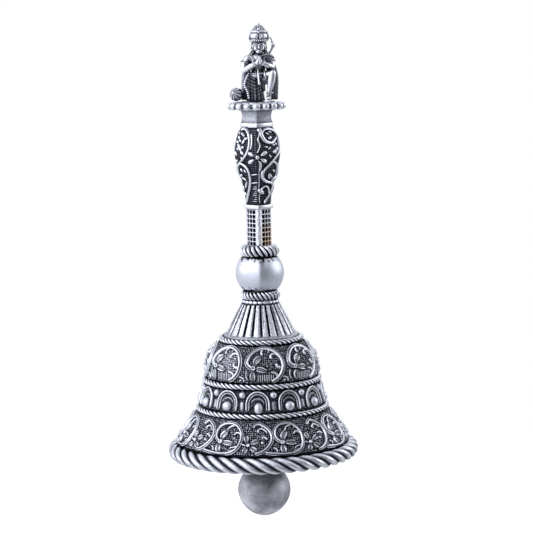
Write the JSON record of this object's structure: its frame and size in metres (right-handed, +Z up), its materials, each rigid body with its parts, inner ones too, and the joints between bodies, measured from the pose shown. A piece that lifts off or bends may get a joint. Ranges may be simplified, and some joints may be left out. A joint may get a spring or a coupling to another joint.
{
  "type": "hand bell",
  "caption": "Long-handled ritual hand bell with a kneeling figure on top, scrollwork bands, twisted-cord rings and rim, and a ball clapper hung on a link.",
  "frame": {"origin": "on the bell's axis, in the middle of the hand grip at the ferrule between stem and bulb", "axes": "+Z up along the bell's axis from the mouth to the figure; -Y is the front that the figure faces; +X is the viewer's right"},
  "size_m": [0.0734, 0.0734, 0.1899],
  "materials": {
    "antique_silver": "antique silver plate: satin on the raised work, blackened in the recesses",
    "oxidised_silver": "blackened silver plate on the ground behind the ornament",
    "pewter": "brushed grey cast metal",
    "plated_steel": "plain plated steel hardware"
  },
  "bodies": {
    "bell": {"bell_shell": "oxidised_silver", "rim_rope": "antique_silver", "shoulder_cord": "antique_silver", "upper_band_cord": "antique_silver", "lower_band_cord": "antique_silver", "arch_01": "antique_silver", "arch_02": "antique_silver", "arch_03": "antique_silver", "arch_04": "antique_silver", "arch_05": "antique_silver", "arch_06": "antique_silver", "arch_07": "antique_silver", "arch_08": "antique_silver", "arch_09": "antique_silver", "arch_10": "antique_silver", "arch_11": "antique_silver", "arch_12": "antique_silver", "arch_stud_01": "antique_silver", "arch_stud_02": "antique_silver", "arch_stud_03": "antique_silver", "arch_stud_04": "antique_silver", "arch_stud_05": "antique_silver", "arch_stud_06": "antique_silver", "arch_stud_07": "antique_silver", "arch_stud_08": "antique_silver", "arch_stud_09": "antique_silver", "arch_stud_10": "antique_silver", "arch_stud_11": "antique_silver", "arch_stud_12": "antique_silver", "fluted_crown": "antique_silver", "crown_ring": "antique_silver", "crown_cord": "antique_silver", "knob_left": "antique_silver", "knob_right": "antique_silver", "grip_cord": "antique_silver", "grip_left": "antique_silver", "grip_right": "antique_silver", "grip_ferrule": "antique_silver", "neck_band": "antique_silver", "neck": "antique_silver", "platform": "antique_silver", "bead_ring": "antique_silver", "figure": "antique_silver", "figure_crown": "antique_silver", "figure_tail": "antique_silver", "mace": "antique_silver", "tie_rod": "plated_steel", "crown_washer": "plated_steel", "eye_nut": "plated_steel"},
    "link": {"link_ring": "plated_steel"},
    "clapper": {"clapper_rod": "pewter", "clapper_ball": "pewter"}
  },
  "joints": [
    {"name": "link_swing", "type": "hinge", "parent": "bell", "child": "link", "pos_m": [0, 0, -0.0635], "axis": [1, 0, 0], "range_deg": [-14, 14]},
    {"name": "clapper_swing", "type": "hinge", "parent": "link", "child": "clapper", "pos_m": [0, 0, -0.0683], "axis": [0, 1, 0], "range_deg": [-25, 25]}
  ]
}
